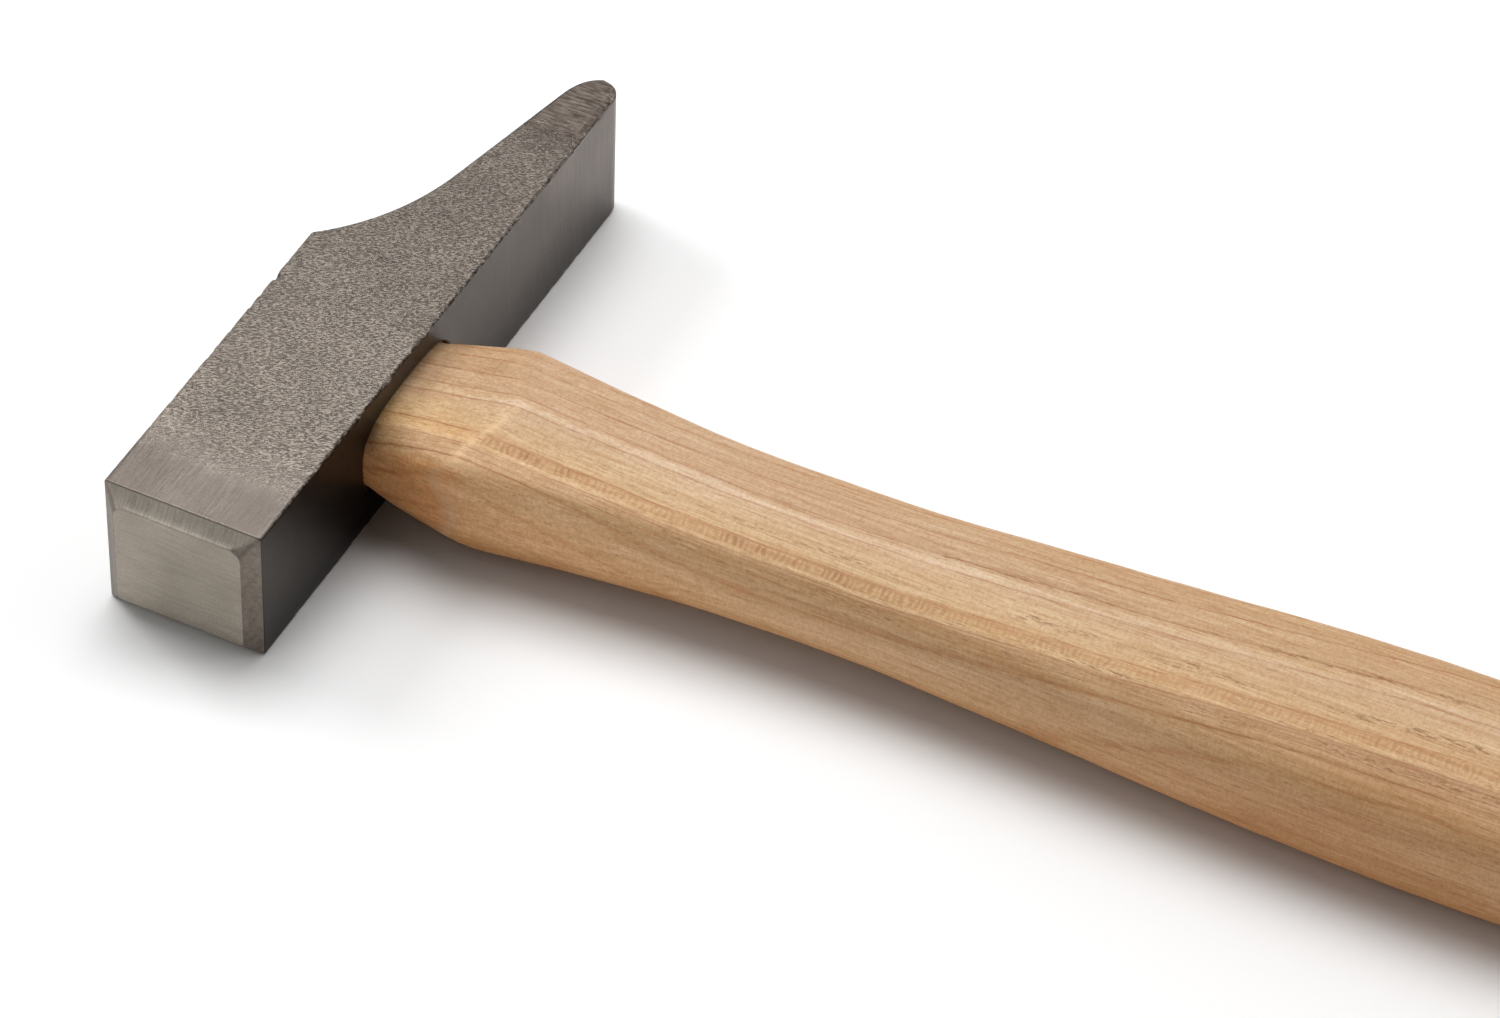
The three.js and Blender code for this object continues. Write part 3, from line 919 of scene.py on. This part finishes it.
def grinding_lines(n, zone, crosswise, pits):
    """Height of the lines that grinding left, each zone's in its own direction."""
    y = n.parts(n.place)[1]
    streaky = n.ease(n.noise(n.place, (0.22, 0.1, 0.2), detail=2), 0.38, 0.6, 0.5, 1.3)
    lengthwise = n.noise(n.place, (3.4, 0.2, 3.4), detail=4, roughness=0.7)
    lengthwise = n.about(0.5, lengthwise, streaky)
    down_cove = n.noise(n.place, (3.4, 0.25, 0.25), detail=3, roughness=0.65)
    along_face = n.noise(n.place, (0.16, 1.0, 4.2), detail=4, roughness=0.65, distortion=0.2)
    brushed = n.noise(n.place, (0.9, 2.6, 0.09), detail=3, roughness=0.6)
    height = n.times(lengthwise, zone["ground_cheek"])
    for lines, where in (
        (crosswise, "tip"),
        (down_cove, "cove"),
        (pits, "side_chamfer"),
        (n.about(0.5, along_face, 0.6), "face"),
        (n.about(0.5, brushed, n.ease(y, 10.0, 55.0, 0.15, 0.7)), "handle_side"),
        (lengthwise, "eye_side"),
    ):
        height = n.math("MULTIPLY_ADD", lines, zone[where], height)
    return height


def steel_colour_and_painted_light(n, zone, pebble, pits, crosswise, lines):
    """The zones' colours, toned along the head and by the grinding lines, the face lighter towards the
    bottom, with a painted highlight on the cheeks and painted shade on the handle side, in the furrows
    and under the burr.
    """
    x, y, z = n.parts(n.place)
    skin, tip, handle_side = zone["skin"], zone["tip"], zone["handle_side"]
    base = n.mix(skin, linear(*GROUND_COLOUR), linear(*SKIN_COLOUR))
    base = n.mix(tip, base, linear(*TIP_COLOUR))
    fading = n.times(skin, n.math("SUBTRACT", 1.0, skin))
    base = n.shade_in(zone["cheek"], base, n.math("MULTIPLY_ADD", fading, 0.9, 1.0))
    base = n.shade_in(tip, base, n.ease(crosswise, 0.32, 0.68, 0.7, 1.36))
    base = n.mix(handle_side, base, linear(*HANDLE_SIDE_COLOUR))
    base = n.mix(zone["chamfer"], base, linear(*COVE_COLOUR))
    base = n.mix(zone["side_chamfer"], base, linear(*SIDE_CHAMFER_COLOUR))
    base = n.mix(zone["face"], base, linear(*FACE_COLOUR))
    base = n.shade_in(zone["face"], base, n.ease(z, 2.0, 14.0, 1.2, 1.0))

    tone = n.noise(n.place, (0.1, 0.1, 0.1), detail=4)
    base = n.shade(base, n.ease(tone, 0.3, 0.7, 0.9, 1.08))
    # Painted shade in the furrows of the wrinkled skin.
    painted_furrow_shade = n.times(n.ease(pebble, 0.8, 0.0), skin)
    base = n.shade(base, n.math("MULTIPLY_ADD", painted_furrow_shade, -0.28, 1.045))
    # Painted highlight: the cheeks lighter near the face and darker towards the peen.
    base = n.shade_in(zone["cheek"], base, n.ease(y, FACE_Y, NOSE_Y, 1.24, 0.86))
    # Painted shade on the handle side: darker towards the face end by the handle, lighter towards the
    # peen, and darker towards the floor.
    base = n.shade_in(handle_side, base, n.ease(y, -30.0, 58.0, 0.55, 1.46))
    base = n.shade_in(handle_side, base, n.ease(z, 0.0, 16.0, 0.46, 0.98))
    blotch = n.noise(n.place, (0.5, 0.9, 0.5), detail=3, roughness=0.6)
    mottle = n.times(n.ease(blotch, 0.38, 0.62, -0.12, 0.14), tip)
    base = n.shade(base, n.math("ADD", mottle, 1.0))
    base = n.shade(base, n.ease(lines, 0.3, 0.7, 0.84, 1.14))
    speck = n.noise(n.place, (3.2, 3.2, 3.2), detail=2, roughness=0.7)
    base = n.shade(base, n.ease(speck, 0.3, 0.7, 0.92, 1.08))

    # Painted shade: a dark ragged line along the cheeks' edges by the handle side, under the burr's
    # lip.
    from_cheek = n.math("MINIMUM", z, n.math("SUBTRACT", THICKNESS, z))
    from_handle_side = n.math("SUBTRACT", HALF_DEPTH, x)
    rim = n.times(n.ease(from_cheek, 0.75, 0.15), n.ease(from_handle_side, 0.45, 0.1))
    burr = n.times(rim, n.ease(pits, 0.44, 0.54), n.ease(y, -41.0, -34.0))
    return n.shade(base, n.math("MULTIPLY_ADD", burr, -0.75, 1.0))


def steel_material():
    """Forged steel: pebbled skin, ground ends and handle side, hollow chamfers, satin face."""
    n = Nodes("forged_steel")
    zone = steel_zones(n)
    pebble = wrinkles(n)
    fine = n.noise(n.place, (3.8, 3.8, 3.8), detail=2, roughness=0.6)
    pits = n.noise(n.place, (1.3, 1.3, 1.3), detail=3, roughness=0.6)
    crosswise = n.noise(n.place, (0.35, 2.4, 2.4), detail=3, roughness=0.6)
    lines = grinding_lines(n, zone, crosswise, pits)
    base = steel_colour_and_painted_light(n, zone, pebble, pits, crosswise, lines)
    skin_height = n.times(n.math("MULTIPLY_ADD", fine, 0.5, pebble), zone["skin"])
    normal = n.bump(lines, GRINDING_BUMP, 0.7, n.bump(skin_height, SKIN_BUMP))
    rough = n.math("MULTIPLY_ADD", zone["skin"], 0.1, 0.38)
    rough = n.math("MULTIPLY_ADD", fine, 0.14, rough)
    rough = n.math("MULTIPLY_ADD", zone["handle_side"], -0.1, rough)
    return n.finish(Base_Color=base, Metallic=1.0, Roughness=rough, Normal=normal)


def ring_radius(n):
    """Distance from the tree's heart line, which passes above the handle's peen side."""
    x, y, z = n.parts(n.place)
    from_heart_y = n.math("SUBTRACT", y, n.math("MULTIPLY_ADD", x, HEART_SLOPE[0], HEART_START[0]))
    from_heart_z = n.math("SUBTRACT", z, n.math("MULTIPLY_ADD", x, HEART_SLOPE[1], HEART_START[1]))
    radius = n.vector("LENGTH", n.join(0.0, from_heart_y, from_heart_z))
    drift = n.noise(n.place, (0.02, 0.06, 0.06), detail=2)
    ripple = n.noise(n.place, (0.16, 0.5, 0.5), detail=2)
    return n.about(n.about(radius, drift, 1.3), ripple, 0.3)


def growth_lines(n, radius):
    """Dark lines where one year's wood ends: soft towards the heart, sharp on the outside."""
    fray = n.noise(n.place, (0.12, 3.2, 3.2), detail=3, roughness=0.7)
    radius = n.about(radius, fray, 0.42)
    total = None
    for at, width, strength in GROWTH_LINES:
        rise = n.ease(radius, at - width, at)
        fall = n.ease(radius, at + 0.14, at, 0.0, strength)
        line = n.times(rise, rise, fall)
        total = line if total is None else n.math("MAXIMUM", total, line)
    patchy = n.noise(n.place, (0.09, 0.5, 0.5), detail=3)
    return n.times(total, n.ease(patchy, 0.32, 0.58, 0.4, 1.0))


def torn_marks(n, radius):
    """Short dark dashes along the grain where the cutter lifted the wood, in four of the layers."""
    dash = n.noise(n.place, (0.55, 3.4, 3.4), detail=3, roughness=0.65)
    total = None
    for at, width in TORN_LAYERS:
        near = n.ease(n.math("ABSOLUTE", n.math("SUBTRACT", radius, at)), width, width * 0.3)
        total = near if total is None else n.math("MAXIMUM", total, near)
    patch = n.noise(n.place, (0.07, 0.3, 0.3), detail=1)
    towards_butt = n.ease(n.parts(n.place)[0], 60.0, 105.0, 0.4, 1.0)
    return n.times(total, n.ease(patch, 0.4, 0.6, 0.2, 1.0), towards_butt, n.ease(dash, 0.52, 0.64))


def tick_bands(n, radius):
    """Rows of short brown ticks across the grain, inside two of the growth layers."""
    x = n.parts(n.place)[0]
    jitter = n.noise(n.place, (0.4, 0.3, 0.3), detail=2)
    beat = n.math("MULTIPLY_ADD", jitter, 2.4, n.times(x, TICKS_PER_MM))
    phase = n.math("FRACT", beat)
    own = n.noise(n.join(n.math("FLOOR", beat), 0.0, 0.0), (3.7, 1, 1), detail=0)
    tick = n.times(n.ease(phase, 0.0, 0.35), n.ease(phase, 0.95, 0.5))
    tick = n.times(tick, n.ease(own, 0.3, 0.65, 0.3, 1.0))
    fading = n.noise(n.place, (0.05, 0.1, 0.1), detail=2)
    shares = []
    for low, high, first_x, full_x, strength in TICK_BANDS:
        end = n.math("MULTIPLY_ADD", own, -1.1, high + 1.05)
        inner = n.ease(radius, low - 0.05, low + 0.2)
        outer = n.ease(radius, end, n.math("SUBTRACT", end, 0.6))
        root = n.ease(radius, low + 0.55, low + 0.1, 0.0, 0.85)
        ground = n.math("MAXIMUM", n.math("MULTIPLY_ADD", tick, 0.7, 0.3), root)
        share = n.times(n.times(inner, outer), ground)
        share = n.times(share, n.ease(x, first_x, full_x, 0.0, strength))
        share = n.times(share, n.ease(x, 78.0, 112.0, 1.0, 0.65))
        shares.append(n.times(share, n.ease(fading, 0.3, 0.6, 0.45, 1.0)))
    return n.math("MAXIMUM", *shares)


def grain(n, base, fibre, hair, fleck):
    """The colour streaked and flecked along the grain, with dark pores."""
    streak = n.noise(n.place, (0.025, 1.3, 1.3), detail=3, roughness=0.6)
    pores = n.noise(n.place, (0.5, 5.0, 5.0), detail=2, roughness=0.6)
    base = n.darken(base, n.ease(fibre, 0.32, 0.72, -0.6, 1.0))
    base = n.darken(base, n.ease(streak, 0.4, 0.68, -0.15, 1.0))
    base = n.darken(base, n.ease(hair, 0.3, 0.7, -0.6, 0.7))
    base = n.darken(base, n.ease(fleck, 0.35, 0.7, -0.5, 0.8))
    return n.mix(n.ease(pores, 0.59, 0.7, 0.0, 0.5), base, linear(*WOOD_PORE))


def wood_tones_and_painted_light(n, base, radius, sideways):
    """The colour lighter on the flanks by painted light, darker and warmer in the outer layers towards
    the butt, warmer near the heart, with a painted orange bounce glow below and painted warm shade on
    the neck.
    """
    x = n.parts(n.place)[0]
    nz = n.parts(n.normal)[2]
    # Painted light: the flanks made lighter, most near the head, and less where they turn downwards.
    side = n.times(n.ease(sideways, 0.62, 0.93), n.ease(nz, -0.4, 0.0, 0.3, 1.0))
    base = n.shade(base, n.math("MULTIPLY_ADD", side, n.ease(x, 40.0, 125.0, 0.42, 0.08), 1.0))
    lower = n.ease(radius, 23.5, 25.0, 0.5, 1.0)
    base = n.darken(base, n.times(lower, n.ease(x, 115.0, 165.0, 0.0, 0.75)))
    upper = n.times(n.ease(radius, 17.5, 15.5), n.ease(x, 55.0, 150.0))
    base = n.mix(upper, base, n.vector("MULTIPLY", base, UPPER_WARMTH))
    # Painted bounce light: an orange glow on the lower rounding, fading where the wood faces straight
    # down.
    bounce_glow = n.times(n.ease(nz, 0.0, -0.7), n.ease(nz, -0.98, -0.85, 0.3, 1.0))
    base = n.mix(n.times(bounce_glow, 0.45), base, linear(*PAINTED_BOUNCE_GLOW))
    # Painted shade where the head shades the neck: darker and warmer there, and its flanks redder with
    # painted warm light.
    neck = n.ease(x, NECK_END, NECK_END - 6.0)
    base = n.mix(n.times(neck, 0.6), base, n.vector("MULTIPLY", base, NECK_PAINTED_SHADE))
    return n.mix(n.times(neck, side), base, n.vector("MULTIPLY", base, FLANK_NECK_PAINTED_LIGHT))


def wood_material():
    """Sanded ash: bands and lines of the growth rings, flecks, ticks, pale torn fibre at the crease."""
    n = Nodes("ash_wood")
    x = n.parts(n.place)[0]
    sideways = n.math("ABSOLUTE", n.parts(n.normal)[1])
    radius = ring_radius(n)
    flank = n.ease(sideways, 0.45, 0.9, 1.0, 0.6)
    near_head = n.ease(x, NECK_END, NECK_END - 8.0, 1.0, 1.35)
    line = n.math("MULTIPLY", n.times(growth_lines(n, radius), near_head), flank, clamp=True)
    line_colour = n.mix(n.ease(flank, 1.0, 0.6), linear(*WOOD_LINE), linear(*FLANK_LINE))
    torn = torn_marks(n, radius)
    cloud = n.noise(n.place, (0.03, 0.16, 0.16), detail=2)
    fibre = n.noise(n.place, (0.06, 3.0, 3.0), detail=4, roughness=0.65)
    hair = n.noise(n.place, (0.2, 8.0, 8.0), detail=2, roughness=0.6)
    fleck = n.noise(n.place, (2.3, 1.5, 1.5), detail=2, roughness=0.6)

    base = n.darken(n.ramp(radius, WOOD_BANDS), n.ease(cloud, 0.35, 0.65, 0.0, 0.55))
    base = n.mix(n.times(line, 0.85), base, line_colour)
    base = n.mix(n.times(torn, 0.72), base, linear(*WOOD_PORE))
    base = grain(n, base, fibre, hair, fleck)
    base = n.mix(n.times(tick_bands(n, radius), 0.8), base, linear(*WOOD_TICK))
    base = wood_tones_and_painted_light(n, base, radius, sideways)
    lifted = n.noise(n.place, (0.5, 2.4, 2.4), detail=4, roughness=0.65)
    crease = n.times(n.attribute("crease"), n.ease(lifted, 0.38, 0.56))
    crease = n.times(crease, n.ease(radius, 14.0, 20.0, 0.12, 0.52))
    base = n.mix(crease, base, linear(*WOOD_TORN))

    height = n.math("MULTIPLY_ADD", fibre, 0.5, n.times(hair, 0.3))
    for part, share in ((torn, -0.8), (line, -0.3), (fleck, -0.15)):
        height = n.math("MULTIPLY_ADD", part, share, height)
    rough = n.ease(fibre, 0.3, 0.7, 0.5, 0.62)
    return n.finish(Base_Color=base, Roughness=rough, Normal=n.bump(height, GRAIN_BUMP, 0.8))


def end_grain_material():
    """Sawn end grain of the wooden wedge."""
    n = Nodes("beech_end_grain")
    lines = n.noise(n.place, (0.2, 1.2, 6.0), detail=3)
    specks = n.noise(n.place, (1.0, 6.0, 6.0), detail=2)
    base = n.mix(n.ease(lines, 0.35, 0.65), linear(*BEECH_LIGHT), linear(*BEECH_DARK))
    base = n.mix(n.ease(specks, 0.55, 0.75, 0.0, 0.5), base, linear(*BEECH_SPECK))
    return n.finish(Base_Color=base, Roughness=0.7, Normal=n.bump(specks, 0.08, 0.5))


def bare_steel_material():
    """Sheared mild steel of the cross wedges."""
    n = Nodes("wedge_steel")
    drawn = n.noise(n.place, (0.5, 6.0, 6.0), detail=3)
    spots = n.noise(n.place, (1.2, 1.2, 1.2), detail=3)
    base = n.mix(n.ease(drawn, 0.35, 0.65), linear(*SHEARED_LIGHT), linear(*SHEARED_DARK))
    base = n.mix(n.ease(spots, 0.58, 0.72, 0.0, 0.5), base, linear(*SHEARED_SPOT))
    rough = n.ease(spots, 0.3, 0.7, 0.34, 0.5)
    return n.finish(Base_Color=base, Metallic=1.0, Roughness=rough, Normal=n.bump(drawn, 0.05, 0.5))


# ---------------- stage

def add_floor():
    """A wide pale matt floor."""
    material = bpy.data.materials.new("pale_floor")
    material.use_nodes = True
    shader = material.node_tree.nodes["Principled BSDF"]
    shader.inputs["Base Color"].default_value = (FLOOR_GREY, FLOOR_GREY, FLOOR_GREY, 1)
    shader.inputs["Roughness"].default_value = 0.6
    shader.inputs["Specular IOR Level"].default_value = 0.2
    size = FLOOR_HALF_SIZE
    corners = [(-size, -size, 0), (size, -size, 0), (size, size, 0), (-size, size, 0)]
    floor = mesh_object("floor", corners, [(0, 1, 2, 3)], smooth=False)
    floor.data.materials.append(material)


def direction(azimuth, elevation):
    """A unit vector, azimuth degrees from +X towards +Y and elevation degrees above the floor."""
    turn, rise = math.radians(azimuth), math.radians(elevation)
    return Vector((math.cos(turn) * math.cos(rise), math.sin(turn) * math.cos(rise), math.sin(rise)))


def add_light(name, azimuth, elevation, size, power):
    """A square softbox a metre away; azimuth turns from +X to +Y, elevation is above the floor."""
    away = direction(azimuth, elevation)
    light = bpy.data.lights.new(name, "AREA")
    light.shape = "SQUARE"
    light.size = size
    light.energy = power
    lamp = bpy.data.objects.new(name, light)
    lamp.location = LIT_POINT + away
    lamp.rotation_euler = (-away).to_track_quat("-Z", "Y").to_euler()
    bpy.context.scene.collection.objects.link(lamp)


def add_lights():
    """The softboxes and a dim white world."""
    for light in LIGHTS:
        add_light(*light)
    world = bpy.data.worlds.new("studio")
    world.use_nodes = True
    background = world.node_tree.nodes["Background"]
    background.inputs["Color"].default_value = (1, 1, 1, 1)
    background.inputs["Strength"].default_value = WORLD_STRENGTH
    bpy.context.scene.world = world
    bpy.context.scene.view_settings.view_transform = "Standard"


def add_camera():
    """A long lens 25 degrees round from the striking face, 45 degrees above it, tipped a little."""
    azimuth, elevation, roll = map(math.radians, (CAMERA_AZIMUTH, CAMERA_ELEVATION, CAMERA_ROLL))
    aim = Vector(CAMERA_AIM_MM) * MM
    level = math.cos(elevation)
    back = Vector((math.sin(azimuth) * level, -math.cos(azimuth) * level, math.sin(elevation)))
    camera = bpy.data.cameras.new("camera")
    camera.sensor_width = CAMERA_SENSOR
    camera.lens = CAMERA_LENS
    camera.clip_start, camera.clip_end = 0.01, 10
    holder = bpy.data.objects.new("camera", camera)
    turn = (-back).to_track_quat("-Z", "Y").to_matrix() @ Matrix.Rotation(roll, 3, "Z")
    holder.matrix_world = Matrix.Translation(aim + back * CAMERA_DISTANCE) @ turn.to_4x4()
    bpy.context.scene.collection.objects.link(holder)
    bpy.context.scene.camera = holder


# ---------------- assembly

def place(piece, node, material):
    """Gives the piece its material, puts it under the root body, and hides the CAD node it stands for.
    """
    piece.data.materials.clear()
    piece.data.materials.append(material)
    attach(piece, "root")
    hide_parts(node)


add_camera()
add_lights()
add_floor()
place(forged_head(), "hammer_head", steel_material())
place(wooden_handle(), "handle", wood_material())
place(wedge_of_wood(), "wooden_wedge", end_grain_material())
BARE_STEEL = bare_steel_material()
FACE_WEDGE = barbed_wedge("barbed_wedge_face_side", -CROSS_OFFSET)
PEEN_WEDGE = barbed_wedge("barbed_wedge_peen_side", CROSS_OFFSET)
place(FACE_WEDGE, "steel_wedge_face_side", BARE_STEEL)
place(PEEN_WEDGE, "steel_wedge_peen_side", BARE_STEEL)
